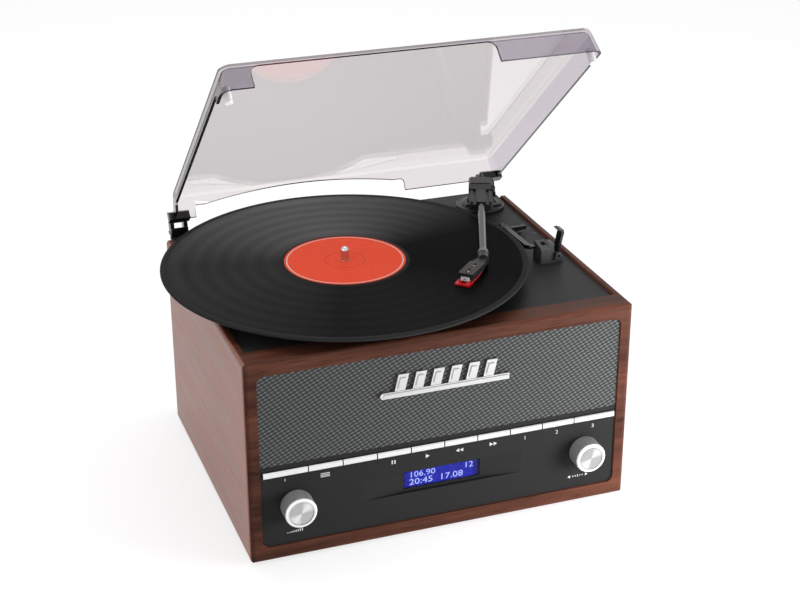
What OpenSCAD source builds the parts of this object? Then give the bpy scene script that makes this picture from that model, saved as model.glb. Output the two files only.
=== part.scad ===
// Stereo music centre: a wooden table cabinet with a record deck on top and a radio panel in front.
// X points right, Y points to the back and Z points up. The origin is under the middle of the wooden
// case, on the plane that the feet stand on. Sizes are in millimetres.
// The dust cover is drawn closed and then turned up about its hinge pins.

/* [Case] */
// outside width of the wooden case
case_w = 320; // [312:1:330]
// depth of the wooden case, front to back
case_d = 256; // [254:1:262]
// height of the wooden case without its feet
case_h = 173; // [173:0.5:175]
// thickness of the side boards
side_t = 10; // [9:0.5:11]
// thickness of the top and bottom boards
board_t = 12; // [11:0.5:13]
// rounding of the outer edges
edge_r = 4; // [2:0.5:6]
// height of the rubber feet
foot_h = 3; // [3:0.5:4]

/* [Record deck] */
// left and right place of the spindle
spindle_x = -36.5; // [-38:0.5:-35]
// front and back place of the spindle
spindle_y = 6.5; // [5:0.5:8]
// radius of the turned platter
platter_r = 98; // [96:1:99]
// radius of the drive ring under the platter
drive_ring_r = 62; // [60:1:63]
// radius of the motor pulley where the belt runs
pulley_r = 5; // [4.5:0.5:5.5]
// distance from the spindle to the motor
motor_reach = 80; // [78:1:81]
// radius of a twelve-inch record
record_r = 151; // [151:0.5:151.5]

/* [Tonearm] */
// left and right place of the arm pivot
pivot_x = 127.5; // [127:0.5:128.5]
// front and back place of the arm pivot
pivot_y = 113; // [112:0.5:114]
// angle of the arm over the record, from straight ahead
arm_angle = 21.6; // [20:0.2:23]
// angle from that place to the parked place in the rest
park_angle = 25.7; // [25.5:0.1:26]
// extra angle of the headshell
head_angle = 22; // [20:0.5:24]
// distance from the pivot to the bend at the headshell
arm_reach = 168; // [166:0.5:169]

/* [Front panel] */
// height of the line where the cloth meets the control panel
panel_top = 85.6; // [85:0.2:86]
// distance between the middles of two inner keys
key_pitch = 28; // [27.6:0.2:28.2]
// height of the middle of both knobs
knob_z = 49.5; // [48:0.5:50]
// distance of each knob from the middle of the case
knob_x = 122.2; // [121:0.2:123]
// largest radius of the knurled knobs
knob_r = 12.8; // [12.4:0.1:13]
// number of flutes round a knob
knob_flutes = 60; // [40:2:72]

/* [Dust cover] */
// angle of the open cover above its closed place
lid_angle = 41; // [0:1:41]
// depth of the tray from its rim to its top
lid_h = 22; // [21.8:0.1:22.5]
// half of the cover's width at the rim
lid_half = 152; // [151:0.5:152.5]
// front to back length of the cover at the rim
lid_len = 269.5; // [268:0.5:270]
// wall thickness of the cover
lid_t = 2.2; // [2:0.1:2.4]

/* [Hidden] */
$fn = 48;

front_y = -case_d / 2;
back_y = case_d / 2;
case_top = foot_h + case_h;
inner_half = case_w / 2 - side_t;
bay_bottom = foot_h + board_t;
bay_top = case_top - board_t;
bay_r = 6;

// deck plate
deck_t = 2.5;
deck_z = case_top - 2.5;
deck_half = case_w / 2 - 6.7;
deck_front = front_y + 20.3;
deck_back = back_y + 20;
deck_corner = 9;
lip_y = back_y + 0.3;

// turning parts, from the deck up
platter_top = deck_z + 10.5;
mat_t = 2;
record_t = 2;
record_z = platter_top + mat_t;
play_z = record_z + record_t;
spindle_r = 3.4;
seat_r = spindle_r + 0.2;
axle_r = 4;
running = 0.05;
apart = 0.3;
motor_turn = 215;
motor_x = spindle_x + motor_reach * cos(motor_turn);
motor_y = spindle_y + motor_reach * sin(motor_turn);
belt_z = deck_z + 2.2;
belt_h = 3.6;
belt_t = 0.8;

// tonearm heights
plinth_r = 22;
plinth_h = 5.2;
plinth_z = deck_z + plinth_h;
tube_r = 3.2;
tube_z = play_z + 5.5;
turret_half = 10.6;
turret_back = 6.5;
pitch_z = play_z + 2;
roof_z = play_z + 12;
carrier_front = -50;
collar_back = -154;
head_len = 47;
lift_r = 35;
lift_half_w = 2;
rest_dir = park_angle - arm_angle;

// front panel
face_y = front_y + 1.5;
fascia_t = 2.6;
panel_half = inner_half - 0.4;
key_z = panel_top - 9.1;
key_h = 5;
key_gap = 0.9;
key_proud = 2.3;
key_count = 10;
display_z = foot_h + 46.3;
display_half = 32.5;
display_half_h = 7.6;
dip_half = 67.2;
dip_half_h = 9.6;
dip_depth = 3.2;
knob_front = face_y - 16.2;
knob_back = face_y - 0.7;
shaft_r = 3;
board_y = front_y + 18;

// speakers
speaker_x = 85;
speaker_z = (panel_top + bay_top) / 2;
speaker_r = 33;
baffle_y = front_y + 4;
baffle_t = 6;

// hinge line of the cover
hinge_y = back_y + 17;
hinge_z = case_top + 12;
lid_back = hinge_y - 11.4;
lid_front = lid_back - lid_len;
rim_z = hinge_z - 5.8;
lid_top = rim_z + lid_h;
lid_draft = 2.5;
lid_corner = 9;
hinge_x = 145;

// node to draw

// A flat rectangle with rounded corners, from squares and circles.
module round_rect(x0, x1, y0, y1, r) {
    translate([x0 + r, y0]) square([x1 - x0 - 2 * r, y1 - y0]);
    translate([x0, y0 + r]) square([x1 - x0, y1 - y0 - 2 * r]);
    for (x = [x0 + r, x1 - r], y = [y0 + r, y1 - r])
        translate([x, y]) circle(r);
}

// A plate that stands upright, drawn from the front, from y0 to y1.
module upright(y0, y1) {
    translate([0, y1, 0]) rotate([90, 0, 0]) linear_extrude(y1 - y0) children();
}

// A shape drawn in the side view (Y to the right, Z up), from x0 to x1.
module side_slab(x0, x1) {
    translate([x0, 0, 0]) rotate([90, 0, 90]) linear_extrude(x1 - x0) children();
}

module box(x0, x1, y0, y1, z0, z1) {
    translate([x0, y0, z0]) cube([x1 - x0, y1 - y0, z1 - z0]);
}

module rod_y(x, z, y0, y1, r) {
    translate([x, y1, z]) rotate([90, 0, 0]) cylinder(r = r, h = y1 - y0);
}

module rod_x(y, z, x0, x1, r) {
    translate([x0, y, z]) rotate([0, 90, 0]) cylinder(r = r, h = x1 - x0);
}

module rod_z(x, y, z0, z1, r) {
    translate([x, y, z0]) cylinder(r = r, h = z1 - z0);
}

// Case

module case_outline() {
    intersection() {
        upright(front_y, back_y)
            round_rect(-case_w / 2, case_w / 2, foot_h, case_top, edge_r);
        translate([0, 0, foot_h]) linear_extrude(case_h)
            round_rect(-case_w / 2, case_w / 2, front_y, back_y, edge_r);
        side_slab(-case_w / 2, case_w / 2)
            round_rect(front_y, back_y, foot_h, case_top, edge_r - 1.5);
    }
}

module wood_case() {
    deck_step = 4;
    color("sienna") difference() {
        case_outline();
        upright(front_y - 1, back_y + 1)
            round_rect(-inner_half, inner_half, bay_bottom, bay_top, bay_r);
        // rebate that the deck plate drops into, and the bay below it
        box(-deck_half - 0.3, deck_half + 0.3, deck_front - 0.3, back_y + 1, deck_z - deck_t, case_top + 1);
        box(-inner_half, inner_half, deck_front + deck_step, back_y + 1, bay_top - bay_r, case_top + 1);
        for (x = [-1, 1], y = [-1, 1])
            rod_z(x * foot_x, y * foot_y, foot_h - 1, foot_h + 8, 1);
    }
    // battens glued in the back corners, which the cover screws go into
    color("burlywood") for (side = [0, 1]) mirror([side, 0, 0]) difference() {
        box(inner_half - batten, inner_half + 0.5, cover_in - 14, cover_in - 0.3, bay_bottom - 0.5,
            bay_top - 12);
        cover_screw_places() rod_y(0, 0, cover_in - 13, cover_in, 1.5);
    }
}

foot_x = 143;
foot_y = 114;
foot_r = 8;

module feet() {
    color("dimgray") {
        for (x = [-1, 1], y = [-1, 1])
            translate([x * foot_x, y * foot_y, 0]) rotate_extrude() polygon([
                [2.6, 0], [foot_r - 0.8, 0], [foot_r, foot_h], [1.3, foot_h], [1.3, 1.4], [2.6, 1.4]]);
        // glued pad under the middle, which keeps the bottom board from sagging
        rotate_extrude() polygon([[0, 0], [foot_r - 0.8, 0], [foot_r, foot_h], [0, foot_h]]);
    }
}

// Back cover: a shallow tub behind the case with slots for air.
cover_half = inner_half + 1.5;
cover_z0 = foot_h + 9;
cover_z1 = deck_z - deck_t - 0.4;
cover_y = deck_back - 1.5;
// inner edge of the cover's flange, where the battens end
cover_in = back_y - 8;
batten = 14;
wall = 2.5;
socket_z = foot_h + 38;
rca_x = 96;
rca_pitch = 14;
aerial_x = 62;
inlet_x = -112;

module cover_screw_places() {
    for (x = [-1, 1], z = [cover_z0 + 9, (cover_z0 + cover_z1) / 2, cover_z1 - 12])
        translate([x * (cover_half - 8), 0, z]) children();
}

module rear_cover() {
    slot_pitch = 11;
    slot_half = 32;
    color("dimgray") difference() {
        union() {
            upright(lip_y, cover_y) round_rect(-cover_half, cover_half, cover_z0, cover_z1, 7);
            upright(cover_in, lip_y + 1)
                round_rect(-inner_half + 0.6, inner_half - 0.6, bay_bottom + 0.6, bay_top - 0.6, bay_r - 0.6);
        }
        upright(lip_y, cover_y - wall)
            round_rect(-cover_half + wall, cover_half - wall, cover_z0 + wall, cover_z1 - wall, 5);
        upright(cover_in - 1, lip_y + 1)
            round_rect(-inner_half + 3, inner_half - 3, bay_bottom + 3, bay_top - 3, bay_r - 3);
        for (i = [-5 : 5], row = [0, 1])
            upright(cover_y - wall - 1, cover_y + 1) {
                z = cover_z1 - 62 + row * 38;
                round_rect(i * slot_pitch - 1.5, i * slot_pitch + 1.5, z - 12, z + 12, 1.4);
            }
        for (i = [0, 1])
            rod_y(rca_x + i * rca_pitch, socket_z, cover_y - wall - 1, cover_y + 1, 4.6);
        rod_y(aerial_x, socket_z, cover_y - wall - 1, cover_y + 1, 4.9);
        rod_y(inlet_x, socket_z, cover_y - wall - 1, cover_y + 1, 5.7);
        cover_screw_places() rod_y(0, 0, cover_y - wall - 1, cover_y + 1, 1.9);
    }
    // tubes that the screws pass through on their way to the battens
    color("dimgray") cover_screw_places() upright(cover_in, cover_y - wall + 0.01) difference() {
        circle(4.2);
        circle(1.9);
    }
}

// One screw head with a cross slot and its shank, pointing along +Z.
module screw(shank) {
    difference() {
        union() {
            rotate_extrude() polygon([[0, 1.9], [1.6, 1.8], [2.9, 1.1], [3.1, 0], [1.5, 0],
                [1.5, -shank + 1], [0, -shank]]);
        }
        for (turn = [0, 90]) rotate(turn) box(-1.6, 1.6, -0.35, 0.35, 1.1, 3);
    }
}

module case_screws() {
    color("gray") {
        cover_screw_places() translate([0, cover_y, 0]) rotate([-90, 0, 0]) screw(cover_y - cover_in + 10);
        for (x = [-1, 1], y = [-1, 1])
            translate([x * foot_x, y * foot_y, 1.4]) rotate([180, 0, 0]) scale(0.6) screw(14);
    }
}

// Deck

cue_x = 120;
cue_y = 39;
cue_z = deck_z + 7;
selector_x = 131.5;
selector_y = 44;

module deck_plate() {
    rib_low = deck_z - deck_t - 6;
    color("black") difference() {
        union() {
            // round back corners, and square front ones that fill the rebate
            translate([0, 0, deck_z - deck_t]) linear_extrude(deck_t) {
                round_rect(-deck_half, deck_half, deck_front, deck_back, deck_corner);
                translate([-deck_half, deck_front]) square([2 * deck_half, 2 * deck_corner]);
            }
            // ribs below the plate
            for (x = [-130, -80, 10, 70, 112])
                box(x - 1, x + 1, deck_front + 8, back_y - 12, rib_low, deck_z - deck_t + 0.5);
            for (y = [-90, -55, 60, 90])
                box(-inner_half + 4, inner_half - 4, y - 1, y + 1, rib_low, deck_z - deck_t + 0.5);
            rod_z(spindle_x, spindle_y, deck_z - 14, deck_z, 12);
            rod_z(pivot_x, pivot_y, deck_z - 9.5, deck_z, 9);
        }
        rod_z(spindle_x, spindle_y, deck_z - 20, deck_z + 1, 7.05);
        rod_z(motor_x, motor_y, deck_z - 10, deck_z + 1, 10);
        rod_z(pivot_x, pivot_y, deck_z - 20, deck_z + 1, 6.5);
        rod_z(selector_x, selector_y, deck_z - 10, deck_z + 1, 3.3);
        motor_screw_places() rod_z(0, 0, deck_z - deck_t, deck_z + 1, 1.2);
        lift_rod_place() rod_z(0, 0, deck_z - 10, deck_z + 1, 2.4);
    }
}

module motor_screw_places() {
    for (turn = [45, 225])
        translate([motor_x + 14 * cos(turn), motor_y + 14 * sin(turn), 0]) children();
}

// the lift rod stands under the middle of the platform's arc
module lift_rod_place() {
    turn = -90 - 17;
    translate([pivot_x + lift_r * cos(turn), pivot_y + lift_r * sin(turn), 0]) children();
}

module drive_motor() {
    color("silver") {
        difference() {
            union() {
                translate([motor_x, motor_y, deck_z - deck_t - 30]) rotate_extrude() polygon([
                    [0, 0], [14, 0], [16, 2], [16, 20], [17, 20], [17, 22], [5, 22], [5, 24.5], [0, 24.5]]);
                translate([motor_x, motor_y, deck_z - deck_t - 8.4]) linear_extrude(1.5) difference() {
                    round_rect(-17, 17, -17, 17, 5);
                    circle(5);
                }
            }
            rod_z(motor_x, motor_y, deck_z - deck_t - 18, deck_z, 1 + running);
        }
        // posts that hang the motor from the deck
        motor_screw_places() rod_z(0, 0, deck_z - deck_t - 9.4, deck_z - deck_t, 1.6);
    }
}

module motor_pulley() {
    z0 = deck_z - deck_t - 16;
    color("goldenrod") union() {
        rod_z(motor_x, motor_y, z0, belt_z + 4.6, 1);
        translate([motor_x, motor_y, belt_z - 1.6]) rotate_extrude() polygon([
            [0.5, 0], [pulley_r + 1.4, 0], [pulley_r + 1.4, 0.8], [pulley_r, 1.2],
            [pulley_r, 5.4], [pulley_r + 0.9, 5.7], [pulley_r + 0.9, 6.2], [0.5, 6.2]]);
    }
}

// Band round the drive ring and the pulley.
module belt_loop(grow) {
    hull() {
        circle(drive_ring_r + grow, $fn = 96);
        translate([motor_reach, 0]) circle(pulley_r + grow);
    }
}

module drive_belt() {
    color("black") translate([spindle_x, spindle_y, belt_z]) rotate(motor_turn)
        linear_extrude(belt_h) difference() {
            belt_loop(apart + belt_t);
            belt_loop(apart);
        }
}

module bearing_bush() {
    color("goldenrod") translate([spindle_x, spindle_y, 0]) rotate_extrude() polygon([
        [0, deck_z - 24], [7, deck_z - 24], [7, deck_z], [9, deck_z], [9, deck_z + 1.2],
        [axle_r + running, deck_z + 1.2], [axle_r + running, deck_z - 22], [0, deck_z - 22]]);
}

module spindle() {
    tip = play_z + 12;
    // the seat that centres the platter and record is thicker than the free end
    step_z = play_z + 0.3;
    color("silver") translate([spindle_x, spindle_y, 0]) rotate_extrude() {
        polygon([[0, deck_z - 21.6], [axle_r - 1, deck_z - 21.6], [axle_r, deck_z - 20.6],
            [axle_r, platter_top - 3], [seat_r, platter_top - 3], [seat_r, step_z], [spindle_r, step_z],
            [spindle_r, tip - spindle_r], [0, tip - spindle_r]]);
        // round tip
        intersection() {
            translate([0, tip - spindle_r]) circle(spindle_r);
            square([spindle_r, tip]);
        }
    }
}

module platter() {
    color("silver") translate([spindle_x, spindle_y, 0]) rotate_extrude($fn = 120) difference() {
        polygon([[seat_r + 0.02, platter_top], [platter_r - 1, platter_top], [platter_r, platter_top - 1],
            [platter_r, deck_z + 1.5], [platter_r - 4, deck_z + 1.5], [platter_r - 4, platter_top - 3],
            [drive_ring_r, platter_top - 3], [drive_ring_r, deck_z + 2], [drive_ring_r - 4, deck_z + 2],
            [drive_ring_r - 4, platter_top - 3], [12, platter_top - 3], [12, deck_z + 3],
            [axle_r + 0.02, deck_z + 3], [axle_r + 0.02, platter_top - 3],
            [seat_r + 0.02, platter_top - 3]]);
        // three grooves in the turned rim
        for (i = [0 : 2]) translate([platter_r, deck_z + 3.4 + 2.2 * i]) circle(0.5, $fn = 16);
    }
}

module slip_mat() {
    color("dimgray") translate([spindle_x, spindle_y, platter_top]) rotate_extrude($fn = 120) difference() {
        polygon([[seat_r + 0.15, 0], [platter_r - 1.5, 0], [platter_r - 1.5, mat_t - 0.6],
            [platter_r - 2.1, mat_t], [seat_r + 0.15, mat_t]]);
        for (i = [0 : 6]) translate([56 + 5.4 * i, mat_t]) square([1.4, 0.8], center = true);
    }
}

module vinyl_record() {
    color("black") translate([spindle_x, spindle_y, record_z]) rotate_extrude($fn = 180) polygon([
        [seat_r + 0.1, 0], [51, 0], [54, 0.25], [record_r - 6, 0.25], [record_r - 4, 0.1],
        [record_r - 0.8, 0.1], [record_r, 0.8], [record_r, record_t - 0.7], [record_r - 0.8, record_t],
        [record_r - 4, record_t], [record_r - 6, record_t - 0.3], [54, record_t - 0.3],
        [51, record_t], [seat_r + 0.1, record_t]]);
}

module record_label() {
    label_r = 50;
    color("orangered") translate([spindle_x, spindle_y, play_z]) rotate_extrude($fn = 120)
        translate([seat_r + 0.25, 0]) square([label_r - seat_r - 0.25, 0.15]);
}

// Tonearm. Its parts are drawn straight ahead of the pivot and then turned over the record.

module at_pivot(turn) {
    translate([pivot_x, pivot_y, 0]) rotate(turn) children();
}

module arm_plinth() {
    color("black") cue_bracket();
    color("black") translate([pivot_x, pivot_y, deck_z]) rotate_extrude($fn = 96) polygon([
        [5 + running, 0], [plinth_r, 0], [plinth_r, plinth_h - 2.5], [plinth_r - 1, plinth_h - 1.5],
        [plinth_r - 4, plinth_h - 1.5], [plinth_r - 5, plinth_h - 0.6], [15, plinth_h],
        [5 + running, plinth_h]]);
}

module arm_turret() {
    base_z = plinth_z + apart;
    color("black") at_pivot(-arm_angle) difference() {
        union() {
            rod_z(0, 0, deck_z - 22, base_z + 1, 5);
            rod_z(0, 0, base_z, base_z + 3.5, 12);
            rod_z(0, 0, deck_z - 26, deck_z - 22, 3);
            // fork cheeks and roof, rounded on top as one arch
            upright(-9, turret_back) difference() {
                round_rect(-turret_half, turret_half, base_z - 4, roof_z, 3);
                translate([-12, base_z - 6]) square([24, 6]);
            }
            side_slab(-turret_half + 0.8, turret_half - 0.8) polygon([[-9, play_z + 6.8], [-15, play_z + 6.8],
                [-15, play_z + 8.4], [-9, roof_z - 0.8], [-7, roof_z - 0.8]]);
        }
        // way through for the arm
        upright(-18, 10) translate([-8, base_z + 3.5]) square([16, play_z + 6.8 - base_z - 3.5]);
        rod_x(0, pitch_z, -12, 12, 2 + running);
    }
}

module arm_carrier() {
    low = play_z + 1.6;
    color("black") at_pivot(-arm_angle) difference() {
        union() {
            box(-7.4, 7.4, -19, 5.5, pitch_z - 3.4, play_z + 5.6);
            rod_x(0, pitch_z, -10.3, 10.3, 2);
            translate([0, 0, low]) linear_extrude(5.6)
                round_rect(-10.5, 10.5, carrier_front, -18.5, 3);
            // long ribs on top, the middle one over the tube
            for (x = [-8.2, 8.2]) box(x - 1.3, x + 1.3, carrier_front + 3.5, -18.5, low + 5, low + 6.8);
            translate([0, 0, low]) linear_extrude(8) round_rect(-4.4, 4.4, carrier_front + 0.4, -18.5, 1.5);
        }
        rod_y(0, tube_z, carrier_front - 1, -24, tube_r + 0.02);
    }
}

module arm_tube() {
    color("gray") at_pivot(-arm_angle) difference() {
        rod_y(0, tube_z, -arm_reach + 4, -24.5, tube_r);
        rod_y(0, tube_z, -arm_reach + 3, -23, tube_r - 0.7);
    }
}

// Directions inside the headshell: straight ahead of the bend.
module at_bend() {
    at_pivot(-arm_angle) translate([0, -arm_reach, 0]) rotate(-head_angle) children();
}

shell_top = play_z + 8.3;
shell_half = 6.4;
cart_z0 = play_z + 2.2;

module headshell() {
    color("black") {
        at_pivot(-arm_angle) difference() {
            union() {
                rod_y(0, tube_z, -arm_reach - 1, collar_back, 4.3);
                for (y = [collar_back - 1, collar_back - 4]) rod_y(0, tube_z, y - 1, y, 4.7);
                translate([0, -arm_reach, tube_z - 3.6]) cylinder(r = 4.3, h = 5.4);
            }
            rod_y(0, tube_z, -arm_reach + 3.8, collar_back + 1, tube_r + 0.02);
        }
        at_bend() difference() {
            union() {
                translate([0, 0, tube_z - 3]) linear_extrude(4.6)
                    polygon([[-3.4, 0], [3.4, 0], [shell_half, -15], [-shell_half, -15]]);
                translate([0, 0, shell_top - 5.2]) linear_extrude(5.2)
                    round_rect(-shell_half, shell_half, -39, -13, 1.6);
            }
            box(-shell_half + 1, shell_half - 1, -37.6, -14.4, shell_top - 8, shell_top - 1.2);
            // open front lip over the cartridge
            box(-shell_half + 2.6, shell_half - 2.6, -40, -36, shell_top - 8, shell_top - 2.6);
            for (y = [-33, -21]) box(-0.9, 0.9, y - 4, y + 4, shell_top - 2, shell_top + 1);
        }
    }
}

module cartridge() {
    color("gainsboro") at_bend() difference() {
        union() {
            box(-shell_half + 1.3, shell_half - 1.3, -37.2, -15, cart_z0, shell_top - 1.4);
            box(-3.4, 3.4, -40.6, -37, cart_z0 + 0.4, shell_top - 3);
            for (y = [-33, -21]) rod_z(0, y, shell_top - 1.6, shell_top - 0.2, 0.8);
        }
        box(-1.4, 1.4, -42, -39, cart_z0 + 1.2, cart_z0 + 2.2);
    }
}

module stylus_guard() {
    z0 = play_z + 0.5;
    color("red") at_bend() {
        difference() {
            side_slab(-6.2, 6.2) polygon([[-16, cart_z0 - 0.1], [-43.5, cart_z0 - 0.1], [-46.5, z0 + 1.4],
                [-46.5, z0], [-38, z0], [-24, z0 + 0.8]]);
            box(-2, 2, -45, -32, z0 - 1, cart_z0 + 1);
        }
        // needle arm and tip in the gap of the guard
        translate([0, -head_len, 0]) {
            box(-0.5, 0.5, 3.4, 16, z0 + 0.3, z0 + 1.1);
            translate([0, 4, play_z + 0.35]) cylinder(r1 = 0.15, r2 = 0.5, h = 0.7, $fn = 24);
        }
    }
}

// Lift platform: an arc round the pivot, just below the arm.
module lift_platform() {
    top = play_z + 1.2;
    color("black") {
        translate([pivot_x, pivot_y, 0]) rotate([0, 0, -90 - 42]) rotate_extrude(angle = 50, $fn = 96)
            translate([lift_r - lift_half_w, top - 2.4]) square([2 * lift_half_w, 2.4]);
        lift_rod_place() rod_z(0, 0, deck_z - 8, top - 2, 2.1);
    }
}

// Arm rest: a block with a sloping top, and a cradle beside it for the parked tube.
rest_x0 = 125;
rest_x1 = 134;
rest_y0 = -27.5;
rest_y1 = -11;
rest_r = pivot_y - (rest_y0 + rest_y1) / 2;
park_x = pivot_x + rest_r * sin(rest_dir);
clip_z = deck_z + 5;
clip_x = park_x + tube_r + 1.5;

module arm_rest() {
    cradle_z = tube_z - tube_r - apart;
    color("dimgray") difference() {
        union() {
            side_slab(rest_x0, rest_x1) polygon([[rest_y0, deck_z], [rest_y0, deck_z + 12.4],
                [rest_y0 + 2, deck_z + 13.8], [rest_y1 - 2, deck_z + 16.2], [rest_y1, deck_z + 14.6],
                [rest_y1, deck_z]]);
            // cradle post beside the block
            upright(rest_y0 + 4, rest_y1 - 4) polygon([[rest_x1 - 2, deck_z], [rest_x1 - 2, cradle_z - 2],
                [park_x - 3, cradle_z - 0.2], [park_x - 1, cradle_z - 0.2], [park_x + 2.2, cradle_z - 0.6],
                [park_x + 2.6, deck_z + 12], [park_x + 2.6, deck_z]]);
            box(rest_x0, clip_x + 3.4, rest_y0, rest_y1, deck_z, deck_z + 1.6);
            // ears for the clip
            for (y = [rest_y0 + 1, rest_y1 - 3]) upright(y, y + 2) {
                translate([clip_x, clip_z]) circle(2.8);
                translate([clip_x - 2.8, deck_z]) square([5.6, clip_z - deck_z]);
            }
        }
        // square pocket in the sloping top
        box(rest_x0 + 3, rest_x0 + 7.2, rest_y0 + 6, rest_y0 + 11.5, deck_z + 9, deck_z + 20);
        rod_y(clip_x, clip_z, rest_y0, rest_y1, 1.2 + running);
        box(park_x + 1.4, clip_x + 4, rest_y0 + 3.4, rest_y1 - 3.4, deck_z + 1.6, deck_z + 30);
    }
}

// Clip that swings over the parked tube. It is drawn open, leaning to the right.
clip_open = 12;
// space above the parked tube, so that it can still be lifted in the closed clip
clip_play = 3.2;

module arm_clip() {
    hook_z = tube_z + tube_r + clip_play - clip_z;
    color("black") translate([clip_x, 0, clip_z]) rotate([0, clip_open, 0]) {
        rod_y(0, 0, rest_y0 + 1, rest_y1 - 1, 1.2);
        upright(rest_y0 + 3.8, rest_y1 - 3.8) {
            circle(1.9);
            polygon([[-0.7, 0], [1, 0], [1.4, hook_z - 2], [0.4, hook_z + 1], [-3, hook_z + 1.4],
                [-5, hook_z + 0.4], [-4.8, hook_z - 0.1], [-2.8, hook_z], [-0.9, hook_z - 1.2]]);
        }
    }
}

// Cue lever beside the record: hinged in a bracket at the back, with a finger tab in front.
cue_half = 2.3;

module cue_bracket() {
    difference() {
        union() {
            box(cue_x - cue_half - 1.8, cue_x + cue_half + 1.8, cue_y - 4, cue_y + 5, deck_z, deck_z + 1.6);
            for (x = [cue_x - cue_half - 1.8, cue_x + cue_half + 0.3]) side_slab(x, x + 1.5) {
                translate([cue_y, cue_z]) circle(3.2);
                translate([cue_y - 3.2, deck_z]) square([6.4, cue_z - deck_z]);
            }
        }
        rod_x(cue_y, cue_z, cue_x - 6, cue_x + 6, 1.4 + running);
    }
}

module cue_lever() {
    color("black") {
        rod_x(cue_y, cue_z, cue_x - cue_half - 1.9, cue_x + cue_half + 1.9, 1.4);
        side_slab(cue_x - cue_half, cue_x + cue_half) difference() {
            union() {
                translate([cue_y, cue_z]) circle(3.4);
                polygon([[cue_y + 4, cue_z - 1.6], [cue_y + 8, cue_z + 2.6], [cue_y + 5.5, cue_z + 3.4],
                    [cue_y, cue_z + 3.4], [cue_y - 48, cue_z + 5], [cue_y - 57, cue_z + 7.8],
                    [cue_y - 59, cue_z + 7], [cue_y - 58, cue_z + 4.6], [cue_y - 48, cue_z + 1.4],
                    [cue_y - 4, cue_z - 2.6]]);
            }
            // long slot that lightens the lever
            translate([cue_y - 42, cue_z + 1.9]) square([34, 1]);
        }
    }
}

module speed_selector() {
    color("black") translate([selector_x, selector_y, 0]) {
        rod_z(0, 0, deck_z - 8, deck_z + 2, 3);
        translate([0, 0, deck_z + apart]) rotate_extrude()
            polygon([[0, 0], [6, 0], [6, 2], [5, 3.2], [0, 3.2]]);
        translate([0, 0, deck_z + apart + 2.4]) linear_extrude(3.4)
            polygon([[-4, -1.6], [-4, 1.6], [9, 1.1], [11.5, 0], [9, -1.1]]);
    }
}

// Dust cover, drawn closed

module as_open() {
    translate([0, hinge_y, hinge_z]) rotate([-lid_angle, 0, 0]) translate([0, -hinge_y, -hinge_z])
        children();
}

module cover_slice(z, inset, r) {
    translate([0, 0, z]) linear_extrude(0.02)
        round_rect(-lid_half + inset, lid_half - inset, lid_front + inset, lid_back - inset, r, $fn = 32);
}

module cover_solid(t) {
    hull() {
        cover_slice(rim_z - (t > 0 ? 1 : 0), t, lid_corner - t);
        cover_slice(lid_top - 3.2 - (t > 0 ? 1 : 0), lid_draft + t, lid_corner - t);
        cover_slice(lid_top - 0.9 - t, lid_draft + t + 0.8, lid_corner - t);
        cover_slice(lid_top - t, lid_draft + t + 2.6, lid_corner - t - 2);
    }
}

front_gap = [-127, 66];
back_gap = [-131, 62];
left_gap = [-112, 112];
left_keep = 14.4;
// height of the gap in the back wall at its ends and in the middle
back_low = 10.5;
back_high = 18.5;

module dust_cover() {
    color([0.4, 0.38, 0.4, 0.45]) as_open() difference() {
        cover_solid(0);
        cover_solid(lid_t);
        // long gap in the front wall that leaves only a narrow band below the top
        upright(lid_front - 3, lid_front + 12)
            round_rect(front_gap[0], front_gap[1], rim_z - 20, lid_top - 4, 7);
        // gap in the left wall, where the record stands out over the case
        side_slab(-lid_half - 3, -lid_half + 12)
            round_rect(left_gap[0], left_gap[1], rim_z - 20, lid_top - left_keep, 3);
        // gap in the back wall: steps at its ends and an arch between them
        upright(lid_back - 12, lid_back + 3) {
            step = 10;
            half_arch = (back_gap[1] - back_gap[0]) / 2 - step;
            rise = back_high - back_low;
            arch_r = (half_arch * half_arch + rise * rise) / (2 * rise);
            round_rect(back_gap[0], back_gap[1], rim_z - 20, rim_z + back_low, 3);
            intersection() {
                translate([(back_gap[0] + back_gap[1]) / 2, rim_z + back_high - arch_r])
                    circle(arch_r, $fn = 360);
                translate([back_gap[0] + step, rim_z + back_low - 4]) square([2 * half_arch, 30]);
            }
        }
    }
}

// Shoe that grips the back corner of the cover and carries the knuckle.
module shoe_shape() {
    x0 = hinge_x - 8;
    x1 = lid_half + 3.4;
    difference() {
        union() {
            translate([0, 0, rim_z - 1.4]) linear_extrude(13.4)
                round_rect(x0, x1, lid_back - 7, lid_back + 3, 2);
            side_slab(hinge_x - 3.5, hinge_x + 3.5) {
                translate([hinge_y, hinge_z]) circle(4.4);
                polygon([[lid_back + 1, rim_z - 0.5], [hinge_y, hinge_z - 4.4], [hinge_y, hinge_z + 4.4],
                    [lid_back + 1, rim_z + 11.5]]);
            }
        }
        rod_x(hinge_y, hinge_z, hinge_x - 5, hinge_x + 5, 2 + running);
        // slot for the corner of the cover
        cover_solid(-0.1);
    }
    // inner jaw stays inside the tray
    intersection() {
        translate([0, 0, rim_z]) linear_extrude(12)
            round_rect(x0, x1, lid_back - 7, lid_back + 3, 2);
        cover_solid(lid_t + 0.1);
    }
    box(x0, lid_half - 4, lid_back - 6.5, lid_back + 1, rim_z - 1.4, rim_z - 0.2);
}

module hinge_shoes() {
    color("black") as_open() for (side = [0, 1]) mirror([side, 0, 0]) shoe_shape();
}

// Clear buffers inside the front of the side walls, which stand on the wood when the cover is down.
module bumpers() {
    bumper_h = 12.4;
    color("white") as_open() for (side = [0, 1]) mirror([side, 0, 0])
        translate([lid_half - 6.4, front_y + 4, case_top + apart]) rotate_extrude()
            polygon([[0, 0], [2.6, 0], [3.2, 0.6], [3.2, bumper_h], [0, bumper_h]]);
}

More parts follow.
